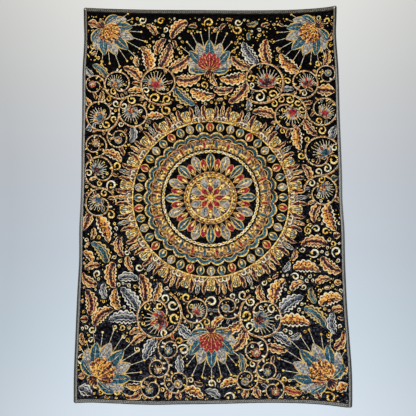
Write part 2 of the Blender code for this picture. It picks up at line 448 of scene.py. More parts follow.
# How the floats of each thread look, which make one piece. Columns, as the function woven takes them:
# name, thread colours, level, scatter, lean, rim, run, outline, edge, metallic.
THREAD_LOOKS = {
    "leaf": ("rimmed_leaves", RUST_THREADS, 0.03, 0.74, 0.12, 0.76, 0.0, "#e6cd94", 0.88, 0.0),
    "rust": ("rust_leaves", RUST_THREADS, 0.5, 0.84, 0.42, 0.0, 0.0, "#e9dab2", 0.86, 0.0),
    "slate": ("slate_leaves", SLATE_THREADS, 0.46, 0.8, 0.4, 0.0, 0.0, "#ded6c2", 0.86, 0.0),
    "copper": ("copper_yarn", COPPER_THREADS, 0.42, 0.9, 0.0, 0.2, 0.0, None, 0.0, 0.15),
    "gold": ("gold_yarn", GOLD_THREADS, 0.48, 0.9, 0.0, 0.1, 0.15, None, 0.0, 0.15),
    "cream": ("cream_yarn", CREAM_THREADS, 0.55, 0.9, 0.0, 0.0, 0.0, None, 0.0, 0.0),
    "teal": ("teal_yarn", TEAL_THREADS, 0.3, 0.75, 0.0, 0.0, 0.4, "#d0ad62", 0.8, 0.0),
    "red": ("red_yarn", RED_THREADS, 0.25, 0.75, 0.0, 0.0, 0.4, "#d6b062", 0.8, 0.0),
    "grey": ("grey_yarn", GREY_THREADS, 0.27, 0.62, 0.0, 0.0, 0.5, "#c9a25a", 0.8, 0.0),
    "halo": ("halo_copper", HALO_THREADS, 0.35, 1.0, 0.0, 0.0, 0.0, None, 0.0, 0.0),
    "grain": ("gold_knots", GOLD_THREADS, 0.62, 0.5, 0.0, 0.0, 0.0, None, 0.0, 0.15),
}
# Threads of the broad floats, which take more points across
BROAD_THREADS = ("teal", "red", "grey", "leaf", "rust", "slate")


def thread_dice(tree, cell):
    """The weave's own coordinates, and a random number for each cell where one thread lies on top."""
    weave = add_node(tree, "ShaderNodeAttribute", attribute_name="weave").outputs["Vector"]
    places = add_node(tree, "ShaderNodeVectorMath", {0: weave, 1: (*cell, 50.0)}, operation="DIVIDE")
    places = add_node(tree, "ShaderNodeVectorMath", {0: places.outputs[0]}, operation="FLOOR")
    links = {"Vector": places.outputs[0]}
    dice = add_node(tree, "ShaderNodeTexWhiteNoise", links, noise_dimensions="3D")
    return weave, dice.outputs["Value"]


def set_tones(ramp, tones, interpolation="CONSTANT"):
    """Spaces a row of colours evenly over a colour ramp and gives its colour output."""
    ramp.color_ramp.interpolation = interpolation
    stops = ramp.color_ramp.elements
    while len(stops) < len(tones):
        stops.new(1.0)
    for i, tone in enumerate(tones):
        stops[i].position = i / len(tones)
        stops[i].color = linear(tone)
    return ramp.outputs["Color"]


def new_material(name, roughness, metallic=0.0, specular=0.5):
    """A material, its nodes and its shader. A number given here is the same all over the surface."""
    material = bpy.data.materials.new(name)
    material.use_nodes = True
    shader = material.node_tree.nodes["Principled BSDF"]
    shader.inputs["Specular IOR Level"].default_value = specular
    shader.inputs["Roughness"].default_value = roughness
    shader.inputs["Metallic"].default_value = metallic
    return material, material.node_tree, shader


def thread_surface(tree, shader, colour, weave, dice, depth):
    """The threads' colour, the ribs of the weft and the unevenness of its floats. depth is in mm."""
    tree.links.new(colour, shader.inputs["Base Color"])
    links = {"Vector": weave, "Scale": WAVE_UNIT / PICK_PITCH, "Distortion": 0.8, "Detail Scale": 0.3}
    picks = add_node(tree, "ShaderNodeTexWave", links, wave_type="BANDS", bands_direction="Y")
    height = weighed_sum(tree, 0.0, (0.6, picks.outputs["Fac"]), (0.4, dice))
    links = {"Strength": 0.7, "Distance": depth * MM, "Height": height}
    bump = add_node(tree, "ShaderNodeBump", links)
    tree.links.new(bump.outputs[0], shader.inputs["Normal"])


def woven(name, threads, level, scatter, lean, rim, run, outline, edge, metallic):
    """Jacquard floats of polyester and metallised yarn: a satin sheen, broken up by the weave.

    threads go from dark to light. Which of them lies on top in a cell is a matter of chance, as far as
    scatter says, and of the place on the float: level is the middle, lean brightens one side, rim both
    sides and run the far end. outline is the thread beyond edge, a share of the way to the side.
    """
    material, tree, shader = new_material(name, 0.5, metallic, 0.12)
    weave, dice = thread_dice(tree, FLOAT_CELL)
    across = add_node(tree, "ShaderNodeAttribute", attribute_name="across").outputs["Fac"]
    along = add_node(tree, "ShaderNodeAttribute", attribute_name="run").outputs["Fac"]
    side = add_node(tree, "ShaderNodeMath", {0: across}, operation="ABSOLUTE").outputs[0]
    start = level - scatter / 2
    value = weighed_sum(tree, start, (lean, across), (rim, side), (run, along), (scatter, dice))
    colour = set_tones(add_node(tree, "ShaderNodeValToRGB", {"Fac": value}), threads)
    if outline:
        at_edge = weighed_sum(tree, 0.0, (1.0, side), (0.14, dice))
        at_edge = add_node(tree, "ShaderNodeMath", {0: at_edge, 1: edge}, operation="GREATER_THAN")
        links = {"Factor": at_edge.outputs[0], 6: colour, 7: linear(outline)}
        colour = add_node(tree, "ShaderNodeMix", links, data_type="RGBA").outputs[2]
    thread_surface(tree, shader, colour, weave, dice, 0.25)
    return material


def ground_cloth():
    """Black satin ground: dull black warp, with slate picks that show through at random. More of them show
    lower down, which is painted sheen: the ground grows lighter towards the bottom.
    """
    material, tree, shader = new_material("black_satin_ground", 0.7, specular=0.02)
    weave, dice = thread_dice(tree, FLOAT_CELL)
    height = add_node(tree, "ShaderNodeSeparateXYZ", {"Vector": weave}).outputs["Y"]
    links = {"Vector": weave, "Scale": 1 / 45.0, "Detail": 2.0}
    patches = add_node(tree, "ShaderNodeTexNoise", links).outputs["Fac"]
    # The height term is painted sheen: it lightens the ground more and more towards the bottom.
    value = weighed_sum(tree, -0.52, (-0.00046, height), (0.75, dice), (0.35, patches))
    colour = set_tones(add_node(tree, "ShaderNodeValToRGB", {"Fac": value}), GROUND_THREADS)
    thread_surface(tree, shader, colour, weave, dice, 0.22)
    return material


def cloth_reverse():
    """The reverse of the jacquard. Wefts float loose here where the face doesn't use them, so the face's
    motifs show as dark shapes between gold, rust and slate streaks, which change from band to band."""
    material, tree, shader = new_material("jacquard_reverse", 0.65)
    weave, dice = thread_dice(tree, LOOSE_FLOAT)
    worked = add_node(tree, "ShaderNodeAttribute", attribute_name="worked").outputs["Fac"]
    height = add_node(tree, "ShaderNodeSeparateXYZ", {"Vector": weave}).outputs["Y"]
    links = {"W": height, "Scale": 1 / 35.0, "Detail": 3.0}
    bands = add_node(tree, "ShaderNodeTexNoise", links, noise_dimensions="1D").outputs["Fac"]
    value = weighed_sum(tree, 0.38, (0.55, dice), (-0.52, worked), (0.1, bands))
    warm = set_tones(add_node(tree, "ShaderNodeValToRGB", {"Fac": value}), WARM_REVERSE)
    cool = set_tones(add_node(tree, "ShaderNodeValToRGB", {"Fac": value}), COOL_REVERSE)
    share = weighed_sum(tree, -3.6, (6.0, bands), (1.6, dice))
    mixed = add_node(tree, "ShaderNodeMix", {"Factor": share, 6: warm, 7: cool}, data_type="RGBA")
    thread_surface(tree, shader, mixed.outputs[2], weave, dice, 0.3)
    return material


def binding_yarn(name, tones):
    """Thick spun polyester yarn, matt, with twisted plies. Its tones change down the cloth as painted
    light and shade, darkest and warmest at the top and paler and cooler further down, and are mottled
    unevenly."""
    material, tree, shader = new_material(name, 0.8, specular=0.2)
    weave = add_node(tree, "ShaderNodeAttribute", attribute_name="weave").outputs["Vector"]
    height = add_node(tree, "ShaderNodeSeparateXYZ", {"Vector": weave}).outputs["Y"]
    # Painted light and shade: the yarn's tone follows its height on the cloth.
    down = weighed_sum(tree, 0.0, (-1 / HEIGHT, height))
    tone = set_tones(add_node(tree, "ShaderNodeValToRGB", {"Fac": down}), tones, "LINEAR")
    links = {"Vector": weave, "Scale": 1 / 3.0, "Detail": 4.0, "Roughness": 0.7}
    mottle = add_node(tree, "ShaderNodeTexNoise", links).outputs["Fac"]
    links = {"Color": tone, "Value": weighed_sum(tree, 0.4, (1.2, mottle))}
    tone = add_node(tree, "ShaderNodeHueSaturation", links).outputs["Color"]
    tree.links.new(tone, shader.inputs["Base Color"])
    links = {"Vector": weave, "Scale": WAVE_UNIT / 0.7, "Distortion": 1.5}
    plies = add_node(tree, "ShaderNodeTexWave", links, wave_type="BANDS", bands_direction="DIAGONAL")
    links = {"Strength": 0.5, "Distance": 0.2 * MM, "Height": plies.outputs["Fac"]}
    bump = add_node(tree, "ShaderNodeBump", links)
    tree.links.new(bump.outputs[0], shader.inputs["Normal"])
    return material


# Drawing with floats. A float is a path over the flat cloth with a half width at each of its points.

FIELD_SIDE = WIDTH / 2 - SIDE_BINDING - 0.4
FIELD_TOP = -TOP_BINDING - 0.4
FIELD_BOTTOM = -HEIGHT + BOTTOM_BINDING + 0.4
THINNEST = 0.25
# The distance between the points of a path, and of a leaf's path, in mm
STEP = 2.4
LEAF_STEP = 1.8


class Floats:
    """The floats of one thread, gathered into one mesh of paths."""

    def __init__(self):
        self.points = []
        self.edges = []

    def add(self, path, level, half_width, rise, run, closed=False):
        first, count = len(self.points), len(path)
        self.points += [(x, y, level, *sizes) for (x, y), *sizes in zip(path, half_width, rise, run)]
        self.edges += [(first + i, first + i + 1) for i in range(count - 1)]
        if closed:
            self.edges.append((first + count - 1, first))

    def mesh(self, name):
        points = np.array(self.points)
        mesh = bpy.data.meshes.new(name)
        mesh.from_pydata(points[:, :3].tolist(), self.edges, [])
        for title, values in zip(("half_width", "rise", "run"), points[:, 3:].T):
            store(mesh, title, values)
        return mesh


class Cover:
    """A fine grid over the flat cloth that remembers where floats lie."""

    CELL = 1.5

    def __init__(self):
        size = math.ceil(WIDTH / self.CELL), math.ceil(HEIGHT / self.CELL)
        self.taken = np.zeros(size, dtype=bool)
        self.last = np.array(size) - 1

    def cells(self, path, half_width, margin):
        """The grid cells under a float and a margin round it."""
        fine = np.linspace(0, len(path) - 1, 2 * len(path))
        whole = np.arange(len(path))
        reach = np.interp(fine, whole, np.broadcast_to(half_width, len(path))) + margin
        line = np.stack([np.interp(fine, whole, path[:, k]) for k in (0, 1)], axis=1)
        ahead = np.gradient(line, axis=0)
        side = ahead[:, ::-1] * (-1, 1) / (np.linalg.norm(ahead, axis=1, keepdims=True) + 1e-9)
        shares = np.linspace(-1, 1, 2 * math.ceil(reach.max() / self.CELL) + 1)
        spots = line[:, None] + side[:, None] * (reach[:, None] * shares)[..., None]
        places = (spots * (1, -1) + (WIDTH / 2, 0)) / self.CELL
        return tuple(np.clip(places.astype(int), 0, self.last).reshape(-1, 2).T)

    def mark(self, path, half_width, margin=0.4):
        self.taken[self.cells(path, half_width, margin)] = True

    def crowding(self, path, half_width, margin=1.1):
        """The share of a new float that would lie on others."""
        return self.taken[self.cells(path, half_width, margin)].mean()

    def mark_round(self, x, y, radius):
        across, down = np.indices(self.taken.shape) * self.CELL
        self.taken |= np.hypot(across - WIDTH / 2 - x, down + y) < radius

    def share_at(self, spots):
        """The share of the nine cells round each flat spot that floats cover."""
        places = ((spots * (1, -1) + (WIDTH / 2, 0)) / self.CELL).astype(int)
        near = [np.clip(places + (i, j), 0, self.last) for i in (-1, 0, 1) for j in (-1, 0, 1)]
        return np.mean([self.taken[tuple(place.T)] for place in near], axis=0)


THREADS = {thread: Floats() for thread in THREAD_LOOKS}
# Where the face shows floats, for the look of the reverse
WORKED = Cover()


def to_border(path):
    """How far inside the nearest binding each point lies."""
    x, y = path.T
    return np.minimum(FIELD_SIDE - abs(x), np.minimum(FIELD_TOP - y, y - FIELD_BOTTOM))


def lay(thread, path, half_width, level=0.05, rise=0.4, closed=False, twice=False):
    """Lays a float on the cloth, and its mirror image across the middle if twice is true."""
    path = np.asarray(path, dtype=float)
    count = len(path)
    half_width = np.minimum(np.broadcast_to(half_width, count), to_border(path) + 0.3)
    half_width = np.maximum(half_width, THINNEST)
    rise = np.minimum(rise, 0.5 * half_width)
    run = np.linspace(0.0, 1.0, count)
    inside = to_border(path) > 0
    if closed and not inside.all():
        first = int(np.argmin(inside))
        path, half_width, rise, run, inside = (
            np.roll(a, -first, axis=0) for a in (path, half_width, rise, run, inside)
        )
        closed = False
    bounds = np.flatnonzero(np.diff(np.r_[False, inside, False].astype(int)))
    for start, end in zip(bounds[::2], bounds[1::2]):
        if end - start < 3:
            continue
        kept = [a[start:end] for a in (path, half_width, rise, run)]
        for side in (1, -1) if twice else (1,):
            there, *sizes = [a[::side] for a in kept]
            there = there * (side, 1)
            THREADS[thread].add(there, level, *sizes, closed=closed)
            WORKED.mark(there, sizes[0], 0.0)


def knot(x, y, size, twice=False):
    """A round knot of thread."""
    for side in (1, -1) if twice else (1,):
        place = np.array([(x * side, y)])
        if to_border(place)[0] > 0:
            THREADS["grain"].add(place, 0.0, [size], [0.0], [0.5])


def polar(centre, radius, angle):
    """Points at a distance and an angle from a centre."""
    x = centre[0] + radius * np.cos(angle)
    y = centre[1] + radius * np.sin(angle)
    return np.stack((x, y), axis=-1)


def swept(start, heading, length, bend, power=1.0, step=STEP):
    """A path that leaves start at a heading and turns by bend along its length, in radians."""
    count = max(5, round(length / step))
    middle = (np.arange(count) + 0.5) / count
    angle = heading + bend * middle**power
    moves = np.stack((np.cos(angle), np.sin(angle)), axis=1) * (length / count)
    return np.vstack((start, np.asarray(start) + np.cumsum(moves, axis=0)))


def bulge(count, width, peak=0.4, power=0.8):
    """Half widths of a leaf or petal: pointed at both ends, and widest at the share peak of its length."""
    t = np.linspace(0.0, 1.0, count)
    wave = np.abs(np.sin(np.pi * t ** (math.log(0.5) / math.log(peak))))
    return THINNEST + width * wave**power


def lobed(count, width, lobes):
    """Half widths of a leaf with round lobes along both sides."""
    t = np.linspace(0.0, 1.0, count)
    waves = np.abs(np.sin(np.pi * (lobes * t + 0.15))) ** 0.8
    return bulge(count, width, 0.42, 0.7) * (0.62 + 0.38 * waves)


def curl_widths(count, width):
    """Half widths of a comma: a thin tail and a round head."""
    t = np.linspace(0.0, 1.0, count)
    return width * (0.2 + 0.8 * t**0.7) * np.sqrt(1 - 0.9 * t**6)


def curl(thread, start, heading, length, bend, width, level):
    """A comma that winds up towards its end."""
    path = swept(start, heading, length, bend, power=1.5)
    lay(thread, path, curl_widths(len(path), width), level)


def petal_ring(threads, centre, count, inner, outer, width, level=0.1, peak=0.62, shift=0.0):
    """Petals all round, whose threads take turns. The first points up, or lies shift petals further."""
    radii = np.linspace(inner, outer, max(6, round((outer - inner) / STEP)))
    for i in range(count):
        path = polar(centre, radii, TURN * (0.25 + (i + shift) / count))
        lay(threads[i % len(threads)], path, bulge(len(radii), width, peak), level, 0.5)


def ring(thread, centre, radius, half_width, level, wave=0.0, waves=0, phase=0.0, rise=0.4):
    """A closed ring, which may be waved."""
    count = max(12, round(TURN * radius / STEP), waves * 8)
    angle = TURN * np.arange(count) / count
    radii = radius + wave * np.cos(waves * (angle - TURN / 4) + phase)
    lay(thread, polar(centre, radii, angle), half_width, level, rise, closed=True)


def scallops(thread, centre, radius, depth, count, half_width, level):
    """A ring of round scallops that point outwards."""
    points = count * 12
    angle = TURN * np.arange(points) / points
    radii = radius + depth * np.abs(np.sin(count * (angle - TURN / 4) / 2)) ** 0.8
    lay(thread, polar(centre, radii, angle), half_width, level, closed=True)


def knot_ring(centre, radius, count, size):
    """Knots all round."""
    for x, y in polar(centre, radius, TURN * (0.25 + (np.arange(count) + 0.5) / count)):
        knot(x, y, size)


def curl_ring(thread, centre, radius, count, length, width, level, bend=4.6):
    """Pairs of curls that rise from a ring and wind away from each other."""
    for i in range(count):
        angle = TURN * (0.25 + i / count)
        foot = polar(centre, radius, angle)
        for hand in (1, -1):
            curl(thread, foot, angle - hand * 0.25, length, hand * bend, width, level)


# Flowers

# The petals of a lotus seen from the side, back row first. Columns: spread from the middle in degrees,
# length and half width as shares of the flower's size, bend in degrees, which of its threads, level.
LOTUS_PETALS = (
    (104, 0.62, 0.13, 40, 0, 0.10), (80, 0.80, 0.15, 30, 1, 0.18), (54, 0.92, 0.17, 20, 0, 0.26),
    (27, 1.00, 0.18, 10, 1, 0.34), (0, 1.04, 0.18, 0, 0, 0.42),
    (66, 0.46, 0.11, 26, 2, 0.56), (44, 0.54, 0.12, 18, 2, 0.64), (22, 0.6, 0.13, 10, 2, 0.72),
    (0, 0.62, 0.14, 0, 2, 0.8),
)
# A petal longer than this, in mm, has a gold vein
VEINED_LENGTH = 30


def lotus(foot, heading, size, threads, cover=None, twice=False):
    """A lotus seen from the side, with stamens behind it and a small calyx at its foot."""
    for k in range(-6, 7):
        length = size * (1.42 - 0.1 * (k % 2) - 0.014 * k * k)
        stamen = swept(foot, heading + 0.2 * k, length, 0.03 * k)
        lay("cream", stamen, 0.55, 0.06, twice=twice)
        knot(*stamen[-1], 0.035 * size, twice)
    for spread, length, width, bend, which, level in LOTUS_PETALS:
        for side in (1, -1) if spread else (1,):
            angle = heading + side * math.radians(spread)
            path = swept(foot, angle, length * size, -side * math.radians(bend))
            widths = bulge(len(path), width * size, 0.6)
            lay(threads[which], path, widths, level, 0.6, twice=twice)
            if length * size > VEINED_LENGTH:
                lay("gold", path[2:-4], 0.5, level + 0.6, twice=twice)
    for side in (-2, -1, 0, 1, 2):
        path = swept(foot, heading + math.pi + 0.55 * side, 0.26 * size, -0.5 * side)
        lay("leaf", path, bulge(len(path), 0.045 * size), 0.9, twice=twice)
    knot(*foot, 0.05 * size, twice)
    if cover:
        middle = swept(foot, heading, 1.2 * size, 0.0)
        cover.mark(middle, size * np.linspace(0.35, 0.85, len(middle)))


def peony(centre, size, threads, cover):
    """A round flower seen from the front: three rings of petals round a knotted heart."""
    petal_ring(threads[:1], centre, 8, 0.2 * size, size, 0.34 * size, 0.1, 0.66)
    petal_ring(threads[1:2], centre, 8, 0.1 * size, 0.68 * size, 0.22 * size, 0.4, 0.66, 0.5)
    petal_ring(("gold",), centre, 8, 0.1 * size, 0.36 * size, 0.08 * size, 0.8)
    knot(*centre, 0.16 * size)
    cover.mark_round(*centre, size)


# The medallion on the middle of the cloth, the flowers above and below it, and those in the corners

MEDALLION = (0.0, -452.0)
MEDALLION_RADIUS = 218.0
# The bands of stippled ground in it. Columns: radius of the middle, half width.
HALO_BANDS = ((29, 28), (124, 10), (188, 10))
# Its rings. Columns: thread, radius, half width, level, depth of the waves, how many, their phase.
MEDALLION_RINGS = (
    ("gold", 50, 1.5, 0.3, 0.0, 0, 0.0),
    ("copper", 59, 1.4, 0.3, 0.0, 0, 0.0),
    ("gold", 108, 1.5, 0.3, 2.2, 36, 0.0),
    ("cream", 108, 1.0, 0.6, 2.2, 36, math.pi),
    ("copper", 136, 1.4, 0.4, 0.0, 0, 0.0),
    ("gold", 179, 1.4, 0.5, 0.0, 0, 0.0),
)
# Its rings of petals. Columns: threads, count, inner and outer radius, half width, level, share of the
# length where a petal is widest, shift in petals.
MEDALLION_PETALS = (
    (("grey",), 8, 20, 47, 9.5, 0.15, 0.62, 0.5),
    (("gold",), 8, 24, 45, 3.2, 0.35, 0.62, 0.0),
    (("red",), 8, 8, 28, 8.0, 0.5, 0.62, 0.0),
    (("teal", "grey"), 16, 60, 104, 10.5, 0.1, 0.62, 0.0),
    (("gold",), 16, 66, 98, 1.1, 0.7, 0.62, 0.0),
    (("red",), 16, 60, 92, 8.5, 0.5, 0.62, 0.5),
    (("gold",), 16, 62, 80, 2.2, 0.9, 0.62, 0.5),
    (("red", "teal"), 28, 114, 133, 4.4, 0.25, 0.62, 0.5),
    (("red", "teal", "grey", "teal"), 44, 154, 177, 9.0, 0.2, 0.5, 0.0),
    (("gold",), 44, 156, 168, 2.2, 0.8, 0.5, 0.0),
)
# Its knots. Columns: radius, count, size.
MEDALLION_KNOTS = ((10, 8, 2.0), (54.5, 36, 2.4))

# The large flowers. Columns: foot across, foot height, heading in degrees, size.
CORNER_LOTUSES = ((252, -48, 222, 76), (250, -852, 134, 82))
MIDDLE_LOTUSES = ((0, -150, 90, 74), (0, -752, 270, 74))


def crest(centre, radius, count, size):
    """A wreath of palmettes, each with a veined petal between two pairs of curls and two shaded leaves.
    Between them stand a lobed leaf with a knot at its tip, and a pair of cream curls."""
    for i in range(count):
        angle = TURN * (0.25 + i / count)
        half_way = angle + TURN / 2 / count
        foot = polar(centre, radius, angle)
        higher = foot + size * 0.75 * (foot - centre) / radius
        between = polar(centre, radius, half_way)
        for hand in (1, -1):
            path = swept(foot, angle + hand * 1.05, 2.2 * size, -hand * 1.4, step=LEAF_STEP)
            lay("leaf", path[::-hand], lobed(len(path), 0.3 * size, 3), 0.1)
            curl("gold", foot, angle - hand * 1.1, 1.8 * size, hand * 5.2, 0.12 * size, 0.6)
            curl("gold", higher, angle + hand * 0.6, 1.4 * size, -hand * 4.6, 0.1 * size, 0.5)
            curl("cream", between, half_way - hand * 0.3, 1.2 * size, hand * 4.4, 0.08 * size, 0.7)
        tip = between + 0.7 * size * (between - centre) / radius
        path = swept(tip, half_way, 1.35 * size, 0.0, step=LEAF_STEP)
        lay("rust" if i % 2 else "slate", path, lobed(len(path), 0.26 * size, 3), 0.3)
        lay("gold", path[1:-3], 0.6, 0.8)
        knot(*(path[-1] + 0.2 * (path[-1] - path[0])), 0.09 * size)
        path = swept(foot, angle, 1.5 * size, 0.0)
        lay("teal", path, bulge(len(path), 0.26 * size, 0.6), 0.7)
        lay("gold", path[1:-2], bulge(len(path) - 3, 0.06 * size, 0.5), 1.3)


def medallion():
    """A many-petalled round flower in rings, with a scalloped band and a crest of palmettes."""
    for radius, half_width in HALO_BANDS:
        ring("halo", MEDALLION, radius, half_width, 0.02, rise=0.0)
    for thread, *sizes in MEDALLION_RINGS:
        ring(thread, MEDALLION, *sizes)
    for threads, *sizes in MEDALLION_PETALS:
        petal_ring(threads, MEDALLION, *sizes)
    for sizes in MEDALLION_KNOTS:
        knot_ring(MEDALLION, *sizes)
    knot(*MEDALLION, 8.0)
    curl_ring("gold", MEDALLION, 114, 28, 21, 2.5, 0.3)
    scallops("teal", MEDALLION, 138, 8.5, 30, 4.6, 0.1)
    scallops("gold", MEDALLION, 143.5, 9.0, 30, 1.1, 0.6)
    crest(MEDALLION, 180, 22, 20)


def set_flowers(cover):
    """The large flowers round the medallion. Those in the corners are mirrored across the middle."""
    for x, y, heading, size in CORNER_LOTUSES:
        lotus((x, y), math.radians(heading), size, ("teal", "grey", "rust"), twice=True)
        for side in (1, -1):
            facing = math.radians(heading if side > 0 else 180 - heading)
            middle = swept((side * x, y), facing, 1.2 * size, 0.0)
            cover.mark(middle, size * np.linspace(0.4, 0.9, len(middle)))
    for x, y, heading, size in MIDDLE_LOTUSES:
        lotus((x, y), math.radians(heading), size, ("teal", "grey", "red"), cover)


# The scrolling vine that fills the field

# The first rounds of the vine. Columns: x, y, radius, entry angle in degrees, hand.
VINE_ROOTS = (
    (120, -176, 55, 230, 1), (-114, -184, 50, 300, -1), (252, -440, 40, 180, -1),
    (-254, -470, 38, 0, 1), (114, -718, 52, 120, 1), (-120, -714, 56, 60, -1),
)
# Largest and smallest radius of each wave of growth
SCROLL_SIZES = ((56, 36), (31, 24))
SCROLL_TURNS = 1.24
VINE_GAP = 2.5
# How much of a round may lie past the binding, as a share of its radius
OVERHANG = 0.3
# Other rounds may branch off at these steps, of which a full turn has 56
BRANCH_STEPS = range(5, 30)
STEPS_A_TURN = 56
# A round with a larger radius holds a lotus, a smaller one a peony
LOTUS_ROUND = 29
# The threads of the flowers in the rounds, which take turns
VINE_FLOWERS = (
    ("red", "grey", "leaf"), ("grey", "rust", "red"), ("teal", "grey", "rust"),
    ("rust", "grey", "teal"), ("grey", "teal", "leaf"),
)


class Scroll:
    """One round of the vine: a circle that the vine enters at an angle and winds into."""

    def __init__(self, centre, radius, entry, hand):
        self.centre = centre
        self.radius = radius
        self.entry = entry
        self.hand = hand
        t = np.linspace(0.0, 1.0, max(18, round(TURN * radius * 0.9 / STEP)))
        self.radii = radius * (1 - 0.68 * t**1.7)
        self.angle = entry + hand * TURN * SCROLL_TURNS * t
        self.path = polar(centre, self.radii, self.angle)
        self.thick = (0.7 + 0.03 * radius) * (1 - 0.35 * t)


def grow_scrolls(dice):
    """Grows the vine: each round sends out others that touch it, large ones first."""
    taken = np.array([(*MEDALLION, MEDALLION_RADIUS)])
    for x, y, heading, size in (*CORNER_LOTUSES, *MIDDLE_LOTUSES):
        middle = polar((x, y), 0.62 * size, math.radians(heading))
        for side in (1, -1) if x else (1,):
            taken = np.vstack((taken, (side * middle[0], middle[1], 0.85 * size)))
    first = len(taken)
    scrolls = []
    for x, y, radius, entry, hand in VINE_ROOTS:
        scrolls.append(Scroll((x, y), radius, math.radians(entry), hand))
        taken = np.vstack((taken, (x, y, radius)))
    for largest, smallest in SCROLL_SIZES:
        for i, scroll in enumerate(scrolls):
            for step in BRANCH_STEPS:
                angle = scroll.entry + scroll.hand * TURN * step / STEPS_A_TURN
                turns = np.linspace(0.0, SCROLL_TURNS, len(scroll.radii))
                reach = np.interp(step / STEPS_A_TURN, turns, scroll.radii)
                radius = dice.uniform((largest + smallest) / 2, largest)
                while radius >= smallest:
                    place = polar(scroll.centre, reach + radius, angle)
                    gaps = np.hypot(*(taken[:, :2] - place).T) - taken[:, 2] - radius - VINE_GAP
                    gaps[first + i] = 0
                    border = to_border(place[None])[0] + OVERHANG * radius
                    if border >= radius and gaps.min() >= 0:
                        scrolls.append(Scroll(place, radius, angle + math.pi, -scroll.hand))
                        taken = np.vstack((taken, (*place, radius)))
                        break
                    radius *= 0.9
    return scrolls


def draw_vine(scroll, flower, cover):
    """The vine of one round, with a cream thread along its inner side and the flower at its end."""
    lay("copper", scroll.path, scroll.thick, 0.3)
    inner = polar(scroll.centre, scroll.radii - 0.7 * scroll.thick, scroll.angle)
    lay("cream", inner, 0.5, 0.55)
    cover.mark(scroll.path, scroll.thick, 0.8)
    end = scroll.path[-1]
    heading = scroll.angle[-1] + scroll.hand * (TURN / 4 + 0.75)
    if scroll.radius > LOTUS_ROUND:
        lotus(end, heading, 0.56 * scroll.radius, flower, cover)
    else:
        centre = swept(end, heading, 0.3 * scroll.radius, 0.0)[-1]
        peony(centre, 0.36 * scroll.radius, flower, cover)


LEAF_SIZES = (66, 56, 48, 41, 35, 29, 24, 19, 15, 12, 9)
LEAF_WIDTH = 0.24
# A shorter leaf is one bright float, and a longer one has a second float on it, in mm
SMALL_LEAF = 10
DOUBLE_LEAF = 24
# The share of a leaf or a curl that may lie on others
LEAF_OVERLAP = 0.02
CURL_OVERLAP = 0.01


def bright_thread(dice, height):
    """Gold for the small curls, and cream for more and more of them towards the middle of the lower
    half."""
    share = np.interp(height, (-900, -800, -660, -540, -400, 0), (0.2, 0.5, 0.7, 0.6, 0.25, 0.2))
    return "cream" if dice.random() < share else "gold"


def leaf_thread(dice, height):
    """Mostly rust leaves, slate ones more often low down, and now and then a teal or a red one."""
    roll = dice.random()
    if roll < 0.14:
        return "teal" if roll < 0.13 else "red"
    slate = np.interp(height, (-900, -760, -540, -300, 0), (0.34, 0.46, 0.38, 0.24, 0.2))
    return "slate" if roll < slate else "leaf"


def curl_share(height):
    """The share of curls among the small leaves, largest in the lower half."""
    return np.interp(height, (-900, -780, -680, -540, -400, 0), (0.5, 0.8, 0.85, 0.85, 0.6, 0.55))


def openness(height):
    """The share of the filling left out, so that black ground stays open at the top and the bottom."""
    heights = (-HEIGHT, -800, -700, -400, -130, 0)
    return float(np.interp(height, heights, (0.8, 0.5, 0.0, 0.2, 0.65, 0.85)))


def try_leaf(start, heading, length, bend, clear, cover, dice):
    """Sets a leaf where there is room for it. Its first few points, clear of them, may lie on the
    vine."""
    path = swept(start, heading, length, bend, step=LEAF_STEP)
    widths = lobed(len(path), LEAF_WIDTH * length, max(2, round(length / 11)))
    if len(path) - clear < 3 or cover.crowding(path[clear:], widths[clear:]) > LEAF_OVERLAP:
        return
    cover.mark(path, widths)
    hand = 1 if bend > 0 else -1
    thread = leaf_thread(dice, path[0, 1])
    if length < SMALL_LEAF:
        lay(bright_thread(dice, path[0, 1]), path[::hand], widths[::hand], 0.12)
    elif thread == "leaf" and dice.random() < 0.45:
        lay("rust", path[::hand], widths[::hand], 0.12)
        lay("gold", path[1:-3], 0.7, 0.6)
    else:
        lay(thread, path[::hand], widths[::hand], 0.12)
        if length > DOUBLE_LEAF:
            inner = slice(round(0.14 * len(path)), round(0.76 * len(path)))
            lay(thread, path[inner][::hand], 0.45 * widths[inner][::hand], 0.65)


def try_curl(start, heading, size, hand, clear, cover, dice):
    """Sets a curl, with a knot in its middle, where there is room for it."""
    path = swept(start, heading, 1.9 * size, hand * 5.6, 1.5, 1.6)
    widths = curl_widths(len(path), 0.6 + 0.08 * size)
    if len(path) - clear < 3 or cover.crowding(path[clear:], widths[clear:]) > CURL_OVERLAP:
        return
    lay(bright_thread(dice, start[1]), path, widths, 0.12)
    knot(*path[-1], 1.3 * widths.max())
    cover.mark(path, widths)


def grow_leaves(scrolls, cover, dice):
    """Sets leaves and curls along both sides of the vine wherever there is room, the longest first."""
    for length in LEAF_SIZES:
        for scroll in scrolls:
            if length > 1.9 * scroll.radius:
                continue
            for i in range(2, len(scroll.path) - 3, 2):
                start = scroll.path[i]
                along = scroll.angle[i] + scroll.hand * TURN / 4
                clear = max(2, math.ceil(1.5 + (scroll.thick[i] + 1.0) / LEAF_STEP))
                for side in (1, -1):
                    turn = side * scroll.hand
                    heading = along + turn * dice.uniform(0.45, 0.9)
                    if length < 36 and dice.random() < curl_share(start[1]):
                        try_curl(start, heading, 0.8 * length, turn, clear, cover, dice)
                    else:
                        bend = turn * dice.uniform(0.5, 1.5)
                        try_leaf(start, heading, length, bend, clear, cover, dice)


# What fills the gaps. Columns: size in mm, tries.
FILL_SIZES = (
    (56, 900), (44, 1200), (34, 1600), (26, 2400), (20, 3000), (15, 3600), (11, 4600), (8.5, 5200),
    (6.5, 5600),
)
# Fillings are leaves above the first size, leaves or curls above the second, and curls below it
LEAVES_ONLY = 30
CURLS_ONLY = 14
KNOT_TRIES = 6000


